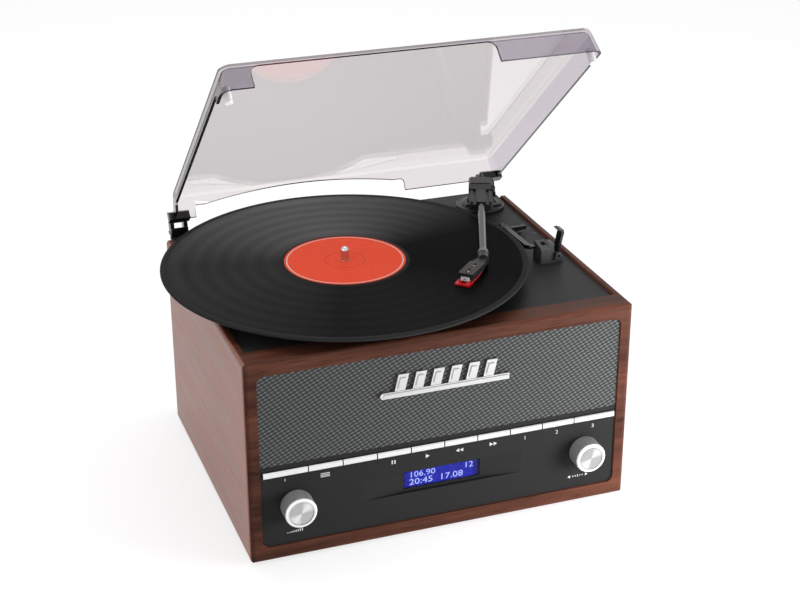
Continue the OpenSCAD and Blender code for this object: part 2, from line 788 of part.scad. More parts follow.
module hinge_base_shape() {
    ear = 3.4;
    difference() {
        union() {
            box(hinge_x - 8, hinge_x + 8, hinge_y - 8, deck_back - 0.5, deck_z, deck_z + 2.4);
            for (x = [hinge_x - 4.2 - ear, hinge_x + 4.2]) side_slab(x, x + ear) {
                translate([hinge_y, hinge_z]) circle(4.2);
                polygon([[hinge_y - 7, deck_z + 1], [deck_back - 1, deck_z + 1], [hinge_y + 4.2, hinge_z],
                    [hinge_y - 4.2, hinge_z]]);
            }
        }
        rod_x(hinge_y, hinge_z, hinge_x - 12, hinge_x + 12, 2 + running);
    }
}

module hinge_bases() {
    color("black") for (side = [0, 1]) mirror([side, 0, 0]) hinge_base_shape();
}

module hinge_pins() {
    color("silver") for (side = [0, 1]) mirror([side, 0, 0])
        rod_x(hinge_y, hinge_z, hinge_x - 8.2, hinge_x + 8.2, 2);
}

// Front

module grille_panel() {
    color("gray") upright(face_y, face_y + 2) difference() {
        union() {
            round_rect(-panel_half, panel_half, panel_top + 10, bay_top - 0.4, bay_r - 0.4);
            translate([-panel_half, panel_top + 0.2]) square([2 * panel_half, 30]);
        }
    }
}

module speaker_baffle() {
    color("burlywood") upright(baffle_y, baffle_y + baffle_t) difference() {
        union() {
            round_rect(-panel_half, panel_half, panel_top + 10, bay_top - 0.4, bay_r - 0.4);
            translate([-panel_half, panel_top + 0.6]) square([2 * panel_half, 30]);
        }
        for (side = [-1, 1]) translate([side * speaker_x, speaker_z]) circle(speaker_r - 2);
        for (side = [-1, 1], sx = [-1, 1], sz = [-1, 1])
            translate([side * speaker_x + sx * 27.5, speaker_z + sz * 27.5]) circle(1.6);
    }
}

bar_half = 53.5;
bar_z = foot_h + 127.8;
fin_count = 6;

module trim_bar() {
    fin_span = 88;
    fin_h = 13.5;
    lean = 3.2;
    color("silver") {
        // long bar with a rounded left end and a raised spine
        upright(face_y - 2.6, face_y) {
            translate([-bar_half + 2.6, bar_z]) circle(2.6);
            translate([-bar_half + 2.6, bar_z - 2.6]) square([2 * bar_half - 2.6, 5.2]);
        }
        upright(face_y - 3.4, face_y - 2.5)
            translate([-bar_half + 3, bar_z - 1.3]) square([2 * bar_half - 4, 2.6]);
        // six leaning fins in two steps
        for (i = [0 : fin_count - 1]) {
            x = -fin_span / 2 + (i + 0.5) * fin_span / fin_count;
            upright(face_y - 2.2, face_y) polygon([[x - 5, bar_z + 2.4], [x + 3.6, bar_z + 2.4],
                [x + 3.6 + lean, bar_z + fin_h + 3], [x - 5 + lean, bar_z + fin_h + 3]]);
            upright(face_y - 3.2, face_y - 2.1) polygon([[x - 2.6, bar_z + 5], [x + 1.6, bar_z + 5],
                [x + 1.6 + lean * 0.7, bar_z + fin_h], [x - 2.6 + lean * 0.7, bar_z + fin_h]]);
        }
    }
}

// Left edge of each key: the first and last keys are wider.
key_edges = concat([-148.3], [for (i = [-4 : 4]) i * key_pitch], [148.3]);

module fascia_plate() {
    union() {
        round_rect(-panel_half, panel_half, bay_bottom + 0.4, panel_top - 20, bay_r - 0.4);
        translate([-panel_half, panel_top - 40]) square([2 * panel_half, 40]);
    }
}

module control_fascia() {
    back = face_y + fascia_t;
    color("black") difference() {
        union() {
            upright(face_y, back) fascia_plate();
            // pocket behind the display dip
            upright(back - 0.5, face_y + dip_depth + 2.8)
                translate([-dip_half - 2, display_z - dip_half_h - 2])
                    square([2 * dip_half + 4, 2 * dip_half_h + 4]);
            // stiffening ribs above and below the keys
            for (z = [key_z - 3.6, key_z + key_h + 2.2])
                box(-panel_half, panel_half, back - 0.5, back + 5, z, z + 1.4);
        }
        // dip with ramps that rise to the face at both ends
        translate([0, 0, display_z - dip_half_h]) linear_extrude(2 * dip_half_h) polygon([
            [-dip_half, face_y - 0.01], [-display_half - 1.5, face_y + dip_depth],
            [display_half + 1.5, face_y + dip_depth], [dip_half, face_y - 0.01], [dip_half, face_y - 1],
            [-dip_half, face_y - 1]]);
        upright(face_y - 1, face_y + 12)
            translate([-display_half, display_z - display_half_h])
                square([2 * display_half, 2 * display_half_h]);
        for (side = [-1, 1]) rod_y(side * knob_x, knob_z, face_y - 1, back + 1, 3.9);
        // one long opening for the row of keys
        box(key_edges[0], key_edges[key_count], face_y - 1, back + 1, key_z - 0.35, key_z + key_h + 0.35);
    }
}

module key(i) {
    x0 = key_edges[i] + key_gap / 2;
    x1 = key_edges[i + 1] - key_gap / 2;
    mid = (x0 + x1) / 2;
    color("silver") {
        side_slab(x0, x1) polygon([[face_y - key_proud, key_z + 0.6], [face_y - key_proud + 0.6, key_z],
            [face_y + 4.4, key_z], [face_y + 4.4, key_z + key_h], [face_y - key_proud + 0.8, key_z + key_h],
            [face_y - key_proud, key_z + key_h - 0.8]]);
        box(mid - 2.5, mid + 2.5, face_y + 4.3, board_y - 5.9, key_z + 1, key_z + key_h - 1);
        // shoulders that keep the key from falling out
        box(mid - 6, mid + 6, face_y + fascia_t + 0.3, face_y + 4.4, key_z - 1.4, key_z + key_h + 1.4);
    }
}

module key_board() {
    color("darkgreen") {
        box(-146, 146, board_y, board_y + 1.6, key_z - 8, panel_top - 0.6);
        for (i = [0 : key_count - 1]) {
            mid = (key_edges[i] + key_edges[i + 1]) / 2;
            box(mid - 3, mid + 3, board_y - 3.4, board_y, key_z - 0.5, key_z + key_h + 0.5);
            rod_y(mid, key_z + key_h / 2, board_y - 4.1, board_y - 3, 1.7);
        }
    }
}

module display_window() {
    color([0.1, 0.15, 0.5, 0.7]) box(-display_half + 0.15, display_half - 0.15, face_y + dip_depth + 0.1,
        face_y + dip_depth + 1.3, display_z - display_half_h + 0.15, display_z + display_half_h - 0.15);
}

module display_module() {
    y0 = face_y + dip_depth + 1.5;
    color("midnightblue") {
        box(-display_half + 0.4, display_half - 0.4, y0, y0 + 2.6, display_z - display_half_h + 0.4,
            display_z + display_half_h - 0.4);
        difference() {
            box(-36, 36, y0 + 2, y0 + 8, display_z - 12, display_z + 12);
            for (side = [-1, 1])
                box(side * 30 - 2, side * 30 + 2, y0 + 4, y0 + 6, display_z - 13, display_z - 10);
        }
        difference() {
            box(-40, 40, y0 + 8, y0 + 9.6, display_z - 18, display_z + 15);
            for (sx = [-1, 1], z = [display_z - 15.5, display_z + 12.5])
                rod_y(sx * 37.5, z, y0 + 7, y0 + 11, 1.3);
        }
    }
}

// Knobs and what they turn

module knob_body(x, bore) {
    color("silver") difference() {
        union() {
            upright(knob_front + 1.2, knob_back) translate([x, knob_z]) polygon([
                for (i = [0 : 2 * knob_flutes - 1])
                    let (r = knob_r - (i % 2) * 0.55, a = i * 180 / knob_flutes) [r * cos(a), r * sin(a)]]);
            translate([x, knob_front + 1.2, knob_z]) rotate([90, 0, 0]) rotate_extrude() polygon([
                [0, 0], [knob_r - 0.4, 0], [knob_r - 0.7, 0.7], [knob_r - 1.5, 1.2], [9.9, 1.2],
                [9.9, 0.3], [0, 0.3]]);
        }
        rod_y(x, knob_z, knob_front + 9, knob_back + 1, 10.4);
        rod_y(x, knob_z, knob_front + 2.5, knob_back + 1, bore);
        rod_y(x, knob_z, knob_front - 1, knob_front + 1, 9.8);
    }
    // hub inside the skirt
    color("silver") upright(knob_front + 8, knob_back - 4.8) translate([x, knob_z]) difference() {
        circle(5.4);
        circle(bore);
    }
}

module knob_cap(x) {
    color("gainsboro") translate([x, knob_front + 1, knob_z]) rotate([90, 0, 0]) rotate_extrude() polygon([
        [0, 0], [9.6, 0], [9.6, 0.8], [9.1, 1.2], [0.9, 0.75], [0, 0.9]]);
}

module control_shaft(x, y1) {
    rod_y(x, knob_z, knob_front + 2.8, y1, shaft_r);
}

module volume_knob() {
    knob_body(-knob_x, shaft_r - 0.01);
    color("silver") control_shaft(-knob_x, board_y - 8);
}

module volume_cap() {
    knob_cap(-knob_x);
}

module tune_shaft() {
    color("silver") control_shaft(knob_x, board_y - 8);
}

module tune_knob() {
    knob_body(knob_x, shaft_r + running);
}

module tune_cap() {
    knob_cap(knob_x);
}

// Body of a rotary control with its threaded collar and nut in front of the panel.
module control_body(x, deep) {
    y0 = face_y + fascia_t;
    color("silver") difference() {
        union() {
            rod_y(x, knob_z, face_y - 4, y0 + 2, 3.6);
            translate([x, face_y - 0.05, knob_z]) rotate([90, 0, 0]) cylinder(r = 5, h = 2, $fn = 6);
            box(x - 8, x + 8, y0 + 0.05, y0 + deep, knob_z - 8, knob_z + 8);
            for (pin_x = [x - 5, x, x + 5])
                box(pin_x - 0.5, pin_x + 0.5, y0 + deep - 3, y0 + deep - 2, knob_z - 13, knob_z - 7);
        }
        rod_y(x, knob_z, face_y - 5, board_y - 6, shaft_r + running);
    }
}

module volume_pot() {
    control_body(-knob_x, 11);
}

module tune_encoder() {
    control_body(knob_x, 13);
}

// Inside

module main_board() {
    z0 = bay_bottom + 6;
    color("darkgreen") {
        difference() {
            box(-120, 40, -40, 90, z0, z0 + 1.6);
            for (x = [-116, 36], y = [-36, 86]) rod_z(x, y, z0 - 1, z0 + 3, 1.7);
        }
        for (x = [-116, 36], y = [-36, 86]) difference() {
            rod_z(x, y, bay_bottom, z0, 3.4);
            rod_z(x, y, bay_bottom + 2, z0 + 1, 1.4);
        }
        // finned cooler, smoothing capacitors, radio can and plug rows
        for (i = [0 : 7]) box(-60 + 6 * i, -58.4 + 6 * i, 40, 74, z0 + 1.6, z0 + 30);
        box(-60, -16.4, 40, 74, z0 + 1.5, z0 + 5);
        for (x = [-100, -84]) rod_z(x, 10, z0 + 1.5, z0 + 26, 6.3);
        box(0, 30, 10, 46, z0 + 1.5, z0 + 8);
        for (i = [0 : 3]) box(-40 + 18 * i, -28 + 18 * i, -36, -30, z0 + 1.5, z0 + 8);
    }
}

module speaker_baskets() {
    y0 = baffle_y + baffle_t;
    color("dimgray") for (side = [-1, 1]) translate([side * speaker_x, y0, speaker_z]) rotate([-90, 0, 0]) {
        difference() {
            union() {
                linear_extrude(1.2) round_rect(-speaker_r, speaker_r, -speaker_r, speaker_r, 7);
                rotate_extrude() polygon([[speaker_r - 1, 0], [speaker_r - 1, 5], [16, 22], [16, 24],
                    [14.4, 24], [14.4, 21], [speaker_r - 2.6, 4.4], [speaker_r - 2.6, 0]]);
                rotate_extrude() polygon([[6, 23.6], [24, 23.6], [24, 25.2], [22, 25.2], [22, 34], [0, 34],
                    [0, 31], [6, 31]]);
            }
            for (i = [0 : 3]) rotate(45 + 90 * i) translate([0, 0, 7]) box(18, 32, -7, 7, 0, 12);
            for (sx = [-1, 1], sz = [-1, 1]) translate([sx * 27.5, sz * 27.5, -1]) cylinder(r = 1.6, h = 4);
            translate([0, 0, -1]) cylinder(r = speaker_r - 2.6, h = 3);
        }
    }
}

module speaker_cones() {
    y0 = baffle_y + baffle_t;
    color("black") for (side = [-1, 1]) translate([side * speaker_x, y0, speaker_z]) rotate([-90, 0, 0])
        rotate_extrude() polygon([[speaker_r - 3, 0.4], [speaker_r - 5, -1.2], [speaker_r - 7.4, 0.4],
            [9, 14], [6, 11.6], [0, 10.2], [0, 11.2], [5.4, 12.6], [5.4, 22], [6.2, 22], [6.2, 15.4],
            [9.2, 15.4], [speaker_r - 7, 1.6], [speaker_r - 5, 0.2], [speaker_r - 3, 1.4]]);
}

// Two line output sockets and the aerial socket.
module rear_sockets() {
    inner_y = cover_y - wall - apart;
    plug_r = 4.15;
    color("silver") {
        for (i = [0, 1]) translate([rca_x + i * rca_pitch, 0, socket_z]) difference() {
            union() {
                rod_y(0, 0, inner_y - 9, inner_y, 6);
                // the part inside the panel's hole is thicker than the part for the plug
                rod_y(0, 0, inner_y - 1, cover_y + 0.4, plug_r + 0.2);
                rod_y(0, 0, cover_y, cover_y + 9, plug_r);
            }
            rod_y(0, 0, cover_y + 1, cover_y + 10, 1.6);
        }
        box(rca_x - 9, rca_x + rca_pitch + 9, inner_y - 9, inner_y - 4, socket_z - 9, socket_z + 9);
        translate([aerial_x, 0, socket_z]) difference() {
            union() {
                rod_y(0, 0, inner_y - 9, inner_y, 6.5);
                rod_y(0, 0, inner_y - 1, cover_y + 10, 4.75);
                translate([0, cover_y + 2, 0]) rotate([90, 0, 0]) cylinder(r = 6.4, h = 1.8, $fn = 6);
            }
            rod_y(0, 0, cover_y + 3, cover_y + 11, 2.2);
        }
        // board that joins them
        box(aerial_x - 8, rca_x + rca_pitch + 9, inner_y - 10.6, inner_y - 8.9, socket_z - 10, socket_z + 10);
    }
}

module power_inlet() {
    color("black") translate([inlet_x, 0, socket_z]) {
        difference() {
            union() {
                rod_y(0, 0, cover_y - wall - 12, cover_y + 0.9, 5.5);
                box(-7, 7, cover_y - wall - 14, cover_y - wall - 0.3, -7, 7);
            }
            rod_y(0, 0, cover_y - wall - 9, cover_y + 2, 2.8);
        }
        rod_y(0, 0, cover_y - wall - 9.5, cover_y - 1, 1.05);
    }
}

wood_case();
rear_cover();
feet();
case_screws();
deck_plate();
speaker_baffle();
grille_panel();
trim_bar();
control_fascia();
display_window();
display_module();
key_board();
volume_pot();
tune_encoder();
main_board();
speaker_baskets();
speaker_cones();
drive_motor();
drive_belt();
bearing_bush();
arm_plinth();
arm_rest();
hinge_bases();
hinge_pins();
rear_sockets();
power_inlet();
platter();
slip_mat();
spindle();
vinyl_record();
record_label();
motor_pulley();
arm_turret();
arm_carrier();
arm_tube();
headshell();
cartridge();
stylus_guard();
cue_lever();
lift_platform();
arm_clip();
speed_selector();
dust_cover();
hinge_shoes();
bumpers();
volume_knob();
volume_cap();
tune_shaft();
tune_knob();
tune_cap();
key(0);  // key_1
key(1);  // key_2
key(2);  // key_3
key(3);  // key_4
key(4);  // key_5
key(5);  // key_6
key(6);  // key_7
key(7);  // key_8
key(8);  // key_9
key(9);  // key_10
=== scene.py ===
# %% [markdown]
# # A stereo music centre
# The CAD part gives the exact pieces of a record player in a wooden case. This scene dresses
# them: it adds the small forms that CAD leaves out, gives every surface its material, and lights
# the whole as a studio photograph on white. Lengths are in metres, with X to the right, Y to the
# back, Z up.

import math

import bmesh
import bpy
from mathutils import Matrix, Vector


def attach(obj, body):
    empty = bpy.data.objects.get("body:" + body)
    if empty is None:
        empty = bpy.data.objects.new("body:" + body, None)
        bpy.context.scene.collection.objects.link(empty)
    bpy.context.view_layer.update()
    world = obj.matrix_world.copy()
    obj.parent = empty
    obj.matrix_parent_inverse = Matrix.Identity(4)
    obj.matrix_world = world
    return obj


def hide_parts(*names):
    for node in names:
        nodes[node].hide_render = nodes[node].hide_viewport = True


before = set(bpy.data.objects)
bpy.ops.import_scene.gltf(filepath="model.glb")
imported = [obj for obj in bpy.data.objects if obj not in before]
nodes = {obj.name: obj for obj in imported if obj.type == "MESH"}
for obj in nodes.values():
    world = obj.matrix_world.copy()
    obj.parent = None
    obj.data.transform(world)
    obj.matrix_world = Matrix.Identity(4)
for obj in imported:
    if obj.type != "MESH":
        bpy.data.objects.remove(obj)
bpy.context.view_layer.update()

# %% [markdown]
# ## Where things are
# The finishes and prints follow a few places of the CAD part: the spindle, the two knobs, the
# plane of the control panel and the hinge of the cover. They stand here once, each under its own
# name.

# %% Places taken from the part
spindle_x, spindle_y = -0.0365, 0.0065
knob_x, knob_z = 0.1222, 0.0495
panel_print_y = -0.12653
display_print_y = -0.12187
deck_print_z = 0.17352
cover_hinge = Vector((0, 0.145, 0.188))
cover_opening = math.radians(41)
arm_pivot = Vector((0.1275, 0.113, 0))
arm_angle = math.radians(21.6)
print("cover opened by", round(math.degrees(cover_opening)), "degrees")

# %% [markdown]
# ## A small language for materials
# A procedural material is a chain of nodes. Writing each link by hand hides the idea, so one
# small class wraps an output socket: plus, minus and times make Math nodes, and `make` adds any
# other node.

# %% A wire that can be added and mixed
class Wire:
    def __init__(self, tree, socket=None):
        self.tree = tree
        self.socket = socket

    def make(self, kind, feeds=None, out=0, **settings):
        node = self.tree.nodes.new(kind)
        for name, value in settings.items():
            setattr(node, name, value)
        for name, value in (feeds or {}).items():
            if isinstance(value, Wire):
                self.tree.links.new(value.socket, node.inputs[name])
            else:
                node.inputs[name].default_value = value
        return Wire(self.tree, node.outputs[out])

    def math(self, operation, *others):
        return self.make("ShaderNodeMath", dict(enumerate((self, *others))), operation=operation)

    def __add__(self, other):
        return self.math("ADD", other)

    def __sub__(self, other):
        return self.math("SUBTRACT", other)

    def __rsub__(self, other):
        return self.make("ShaderNodeMath", {0: other, 1: self}, operation="SUBTRACT")

    def __mul__(self, other):
        return self.math("MULTIPLY", other)

    def __truediv__(self, other):
        return self.math("DIVIDE", other)

    def __pow__(self, other):
        return self.math("POWER", other)

    __radd__ = __add__
    __rmul__ = __mul__

    def wave(self, pitch):
        """A sine from 0 to 1 that repeats every pitch."""
        return (self * (2 * math.pi / pitch)).math("SINE") * 0.5 + 0.5

    def span(self, low, high, to_low=0.0, to_high=1.0):
        """Maps low..high to 0..1, or to another range, and stops at its ends."""
        feeds = {"Value": self, "From Min": low, "From Max": high,
                 "To Min": to_low, "To Max": to_high}
        return self.make("ShaderNodeMapRange", feeds)

    def blend(self, first, second):
        """A colour between two colours, by a wire from 0 to 1."""
        feeds = {"Factor": self, "A": first, "B": second}
        return self.make("ShaderNodeMix", feeds, out=2, data_type="RGBA")

    def noise(self, scale, detail=3.0, rough=0.5):
        feeds = {"Vector": self, "Scale": scale, "Detail": detail, "Roughness": rough}
        return self.make("ShaderNodeTexNoise", feeds)

    def stretch(self, x, y, z):
        feeds = {0: self, 1: (x, y, z)}
        return self.make("ShaderNodeVectorMath", feeds, operation="MULTIPLY")

    def axes(self):
        split = self.tree.nodes.new("ShaderNodeSeparateXYZ")
        self.tree.links.new(self.socket, split.inputs[0])
        return [Wire(self.tree, split.outputs[i]) for i in range(3)]

    def bump(self, distance, strength=1.0):
        feeds = {"Height": self, "Distance": distance, "Strength": strength}
        return self.make("ShaderNodeBump", feeds)


# %% [markdown]
# ## A new material
# Every finish starts the same way: a Principled shader with its constants, and the Object
# coordinates that its pattern will follow. Object coordinates stay on the piece when it moves.

# %% Helpers for materials
def material(name, **constants):
    """A new Principled material. Returns it, its shader and a wire with Object coordinates."""
    mat = bpy.data.materials.new(name)
    mat.use_nodes = True
    shader = mat.node_tree.nodes["Principled BSDF"]
    for key, value in constants.items():
        shader.inputs[key.replace("_", " ")].default_value = value
    place = Wire(mat.node_tree).make("ShaderNodeTexCoord", out=3)
    print("material", name)
    return mat, shader, place


def feed(mat, shader, **wires):
    for key, wire in wires.items():
        mat.node_tree.links.new(wire.socket, shader.inputs[key.replace("_", " ")])


# %% [markdown]
# ## Wood veneer
# Wood is long in one direction, so its grain is noise squeezed across that direction. The sides
# carry a lacquered veneer whose grain runs front to back, and the long boards have the grain along
# them. These are copies of one veneer whose tones differ by where they face: the sides are
# lighter, as painted light, and the long boards darker, with their cut front edges darker still,
# as painted shade.

# %% Veneer materials
def along_grain(place, along, across, lengthwise):
    """Coordinates on which noise runs in long fibres. The two numbers are its scales."""
    scales = [across] * 3
    scales[along] = lengthwise
    return place.stretch(*scales)


def veneer(name, along, dark, light, shine):
    mat, shader, place = material(name, Roughness=0.36, Specular_IOR_Level=shine)
    fibres = along_grain(place, along, 170.0, 9.0).noise(1.0, 6.0, 0.65)
    bands = along_grain(place, along, 30.0, 4.0).noise(1.0, 2.0)
    pores = along_grain(place, along, 900.0, 45.0).noise(1.0, 2.0).span(0.58, 0.7)
    tone = (fibres * 0.65 + bands * 0.45).span(0.38, 0.75).blend((*dark, 1), (*light, 1))
    pore_colour = (*(0.4 * part for part in dark), 1)
    feed(mat, shader, Base_Color=(pores * 0.5).blend(tone, pore_colour),
         Roughness=fibres.span(0.3, 0.7, 0.3, 0.42),
         Normal=(fibres * 0.6 - pores).bump(0.00006, 0.4))
    return mat


# One veneer in three tones by where it faces: the sides lighter as painted light, the long boards
# and their front edges darker as painted shade.
veneer_side_painted_light = veneer("veneer_side_painted_light", 1, (0.17, 0.042, 0.019), (0.32, 0.092, 0.045), 0.5)
veneer_long_painted_shade = veneer("veneer_long_painted_shade", 0, (0.030, 0.010, 0.0062), (0.142, 0.050, 0.030), 0.08)
veneer_front_painted_shade = veneer("veneer_front_painted_shade", 0, (0.0225, 0.0078, 0.005), (0.107, 0.039, 0.0245), 0.08)

# %% [markdown]
# ## Plastics and metals
# Plastic looks real when its surface isn't perfectly even. A faint fine noise in the bump gives
# the moulded texture, and each part gets its own roughness and its own share of mirror light.
# Metal gets a roughness that wanders by a twentieth.

# %% Plastic materials
def plastic(name, colour, rough, grain=1400.0, depth=0.00002, shine=0.3):
    mat, shader, place = material(name, Base_Color=(*colour, 1), Roughness=rough,
                                  Specular_IOR_Level=shine)
    feed(mat, shader, Normal=place.noise(grain, 2.0).bump(depth, 0.6))
    return mat


deck_black = plastic("deck_black", (0.026, 0.026, 0.0265), 0.45, 2600.0, 0.00003, 0.1)
body_black = plastic("body_black", (0.03, 0.03, 0.0304), 0.45, shine=0.08)
fascia_black = plastic("fascia_black", (0.0175, 0.0175, 0.0178), 0.45, shine=0.08)
arm_black = plastic("arm_black", (0.013, 0.013, 0.014), 0.35, shine=0.25)
gloss_black = plastic("gloss_black", (0.008, 0.008, 0.009), 0.2)
rest_grey = plastic("rest_grey", (0.055, 0.055, 0.057), 0.42)
rubber = plastic("rubber_black", (0.012, 0.012, 0.012), 0.75)
board_green = plastic("board_green", (0.01, 0.09, 0.035), 0.45)
fibre_board = plastic("fibre_board", (0.33, 0.2, 0.1), 0.8, 500.0, 0.0001)
cone_paper = plastic("cone_paper", (0.025, 0.025, 0.025), 0.85)
red_plastic = plastic("red_plastic", (0.62, 0.004, 0.012), 0.2, shine=0.5)
shell_grey = plastic("shell_grey", (0.62, 0.62, 0.63), 0.3)
pale_ink = plastic("pale_ink", (0.5, 0.5, 0.5), 0.5)
dim_ink = plastic("dim_ink", (0.13, 0.13, 0.13), 0.5)
white_gloss = plastic("white_gloss", (0.8, 0.8, 0.78), 0.3)
red_gloss = plastic("red_gloss", (0.6, 0.02, 0.02), 0.3)


# %% Metal materials
def metal(name, colour, rough):
    mat, shader, place = material(name, Base_Color=(*colour, 1), Roughness=rough, Metallic=1.0)
    uneven = place.noise(300.0, 2.0).span(0.3, 0.7, rough * 0.95, rough * 1.05)
    feed(mat, shader, Roughness=uneven)
    return mat


arm_grey = metal("arm_grey", (0.11, 0.11, 0.115), 0.22)
collar_grey = metal("collar_grey", (0.34, 0.34, 0.34), 0.34)
bright_steel = metal("bright_steel", (0.62, 0.62, 0.63), 0.2)
silver = metal("silver_paint", (0.6, 0.6, 0.6), 0.3)
key_silver = metal("key_silver", (0.8, 0.8, 0.8), 0.32)
brass = metal("brass", (0.75, 0.55, 0.25), 0.28)
cast_metal = metal("cast_metal", (0.55, 0.55, 0.56), 0.35)

# %% [markdown]
# ## Clear smoked plastic
# A thin clear sheet hardly bends light, so a Transparent shader does for what goes through it and
# a Glossy one for the reflection. A Fresnel node would see the back faces as glass seen from
# inside and turn them into mirrors, so the mirror's share comes from Layer Weight, by Schlick's
# formula. The tint counts twice, because light crosses both faces of the wall. The real bends look
# dark where they are seen edge-on; here that dark is painted shade, a darker copy with little
# shine.

# %% Clear materials
def clear_sheet(name, tint, rough=0.03, shine=1.0):
    mat, shader, _ = material(name)
    tree = mat.node_tree
    tree.nodes.remove(shader)
    wire = Wire(tree)
    through = wire.make("ShaderNodeBsdfTransparent", {"Color": (*tint, 1)})
    mirror = wire.make("ShaderNodeBsdfGlossy",
                       {"Color": (shine, shine, shine, 1), "Roughness": rough})
    facing = wire.make("ShaderNodeLayerWeight", {"Blend": 0.5}, out=1)
    mirror_share = facing ** 5.0 * 0.96 + 0.04
    both = wire.make("ShaderNodeMixShader", {0: mirror_share, 1: through, 2: mirror})
    tree.links.new(both.socket, tree.nodes["Material Output"].inputs["Surface"])
    return mat


smoked = clear_sheet("smoked", (0.88, 0.858, 0.862))
smoked_wall_painted_shade = clear_sheet("smoked_wall_painted_shade", (0.83, 0.80, 0.83), 0.05, 0.42)
# Painted shade: darker, less shiny copies of the sheet for the walls, the left wall, the front
# wall and the front and left bends.
smoked_left_painted_shade = clear_sheet("smoked_left_painted_shade", (0.77, 0.75, 0.77), 0.05, 0.42)
smoked_front_painted_shade = clear_sheet("smoked_front_painted_shade", (0.74, 0.715, 0.76), 0.05, 0.3)
smoked_bend_painted_shade = clear_sheet("smoked_bend_painted_shade", (0.45, 0.43, 0.45), 0.08, 0.06)
pale_bend = clear_sheet("pale_bend", (0.93, 0.91, 0.91), 0.1)
window_blue = clear_sheet("window_blue", (0.95, 0.95, 1.0), 0.08, 0.25)
smoked_edge = plastic("smoked_edge", (0.012, 0.011, 0.012), 0.15)
clear_soft = plastic("clear_soft", (0.80, 0.79, 0.79), 0.25)

# %% [markdown]
# ## The record
# A record is a disc of rings. The groove is too fine to draw, so its work is done by the normal:
# a ripple that depends only on the distance from the spindle. Grooves spread light into soft fans
# across the disc; here those fans are a painted sheen, a faint grey in the base colour that
# follows the angle round the spindle, lightest at the back, weaker at the left, faint at the front
# and none at the right.

# %% Record material
def from_spindle(place):
    """Wires with the distance from the spindle and the two sides of the angle round it."""
    x, y, _ = place.axes()
    x = x - spindle_x
    y = y - spindle_y
    radius = (x * x + y * y).math("SQRT")
    return radius, x / radius, y / radius


run_out_edge, run_in_edge = 0.0530, 0.1462
track_pitch, ripple_pitch = 0.0149, 0.0012
vinyl, vinyl_shader, place = material("vinyl", Roughness=0.22, Specular_IOR_Level=0.008)
radius, right, back = from_spindle(place)
track = (radius + place.noise(26.0, 2.0) * 0.0004).wave(track_pitch)
# Painted sheen: the vinyl's base colour is lighter at the back, less at the left and front, as
# painted reflection.
back_painted_sheen = back.span(0.2, 1.0) ** 1.5 * 0.12
left_painted_sheen = (0.0 - right).span(0.35, 1.0) * 0.032
front_painted_sheen = (0.0 - back).span(0.5, 1.0) * 0.010
grey = (back_painted_sheen + left_painted_sheen + front_painted_sheen) * (track * 0.2 + 0.8) + 0.002
outside_run_out = radius.span(run_out_edge, run_out_edge + 0.0006)
inside_run_in = radius.span(run_in_edge, run_in_edge - 0.0007)
grooves = (outside_run_out * inside_run_in).math("MINIMUM", 1.0)
painted_sheen_colour = grey.blend((0, 0, 0, 1), (1, 1, 1, 1))
feed(vinyl, vinyl_shader, Base_Color=grooves.blend((0.026, 0.026, 0.027, 1), painted_sheen_colour),
     Normal=radius.wave(ripple_pitch).bump(0.00004, 0.3), Roughness=track.span(0.0, 1.0, 0.2, 0.3))

# %% [markdown]
# ## The record's label
# The label is uncoated orange paper with a thin pale ring near its edge and a faint step round
# the hole, where the press held it; the step is drawn only as a darker band, as painted shade.
# Both are narrow bands of the distance from the spindle.

# %% Label material
ring_radius, step_radius = 0.0478, 0.0165
label_paper, label_shader, place = material("label_paper", Roughness=0.5, Specular_IOR_Level=0.12)
radius, _, _ = from_spindle(place)
ring = (radius - ring_radius).math("ABSOLUTE").math("LESS_THAN", 0.0005)
step = (radius - step_radius).math("ABSOLUTE").math("LESS_THAN", 0.0004)
fleck = place.noise(300.0, 4.0).span(0.3, 0.7)
orange = fleck.blend((0.90, 0.070, 0.022, 1), (0.95, 0.088, 0.029, 1))
# Painted shade: a darker band at the pressed step round the hole.
orange = (step * 0.5).blend(orange, (0.35, 0.03, 0.015, 1))
feed(label_paper, label_shader, Base_Color=ring.blend(orange, (0.75, 0.62, 0.55, 1)))

# %% [markdown]
# ## Speaker cloth
# The cloth is a fine slanted twill: short pale dashes that climb to the right over a dark ground.
# One wave makes the slanted rows and a second one cuts them into dashes, with a little noise so
# that no two threads are quite alike.

# %% Speaker cloth material
row_pitch, dash_pitch = 0.0031, 0.0043
cloth, cloth_shader, place = material("speaker_cloth", Roughness=0.6, Specular_IOR_Level=0.25)
x, _, z = place.axes()
uneven = place.noise(60.0, 2.0) * 0.0009
rows = (z - x * 0.45 + uneven).wave(row_pitch)
dashes = (x + z * 0.7 + uneven).wave(dash_pitch)
weave = rows * (dashes * 0.7 + 0.3)
thread = weave.blend((0.011, 0.0122, 0.0122, 1), (0.1225, 0.1265, 0.1265, 1))
feed(cloth, cloth_shader, Base_Color=thread, Normal=weave.bump(0.0002, 0.5))

# %% [markdown]
# ## Spun metal and fluted metal
# The knob faces are cut on a lathe, so their scratches are circles round the axis. Light gathers
# on such a face in two opposite fans, which follow the angle round the axis; here they are painted
# highlights in the base colour. The knob round the face has fine flutes on its side, whose light
# and shade are painted as stripes with a random mottle, and a bright rim, so its material is
# parted by depth and by radius.

# %% Knob materials
def round_knob(place, centre_x):
    """Wires with the place across, along and up from a knob's axis, and the distance from it."""
    x, y, z = place.axes()
    x = x - centre_x
    z = z - knob_z
    return x, y, z, (x * x + z * z).math("SQRT")


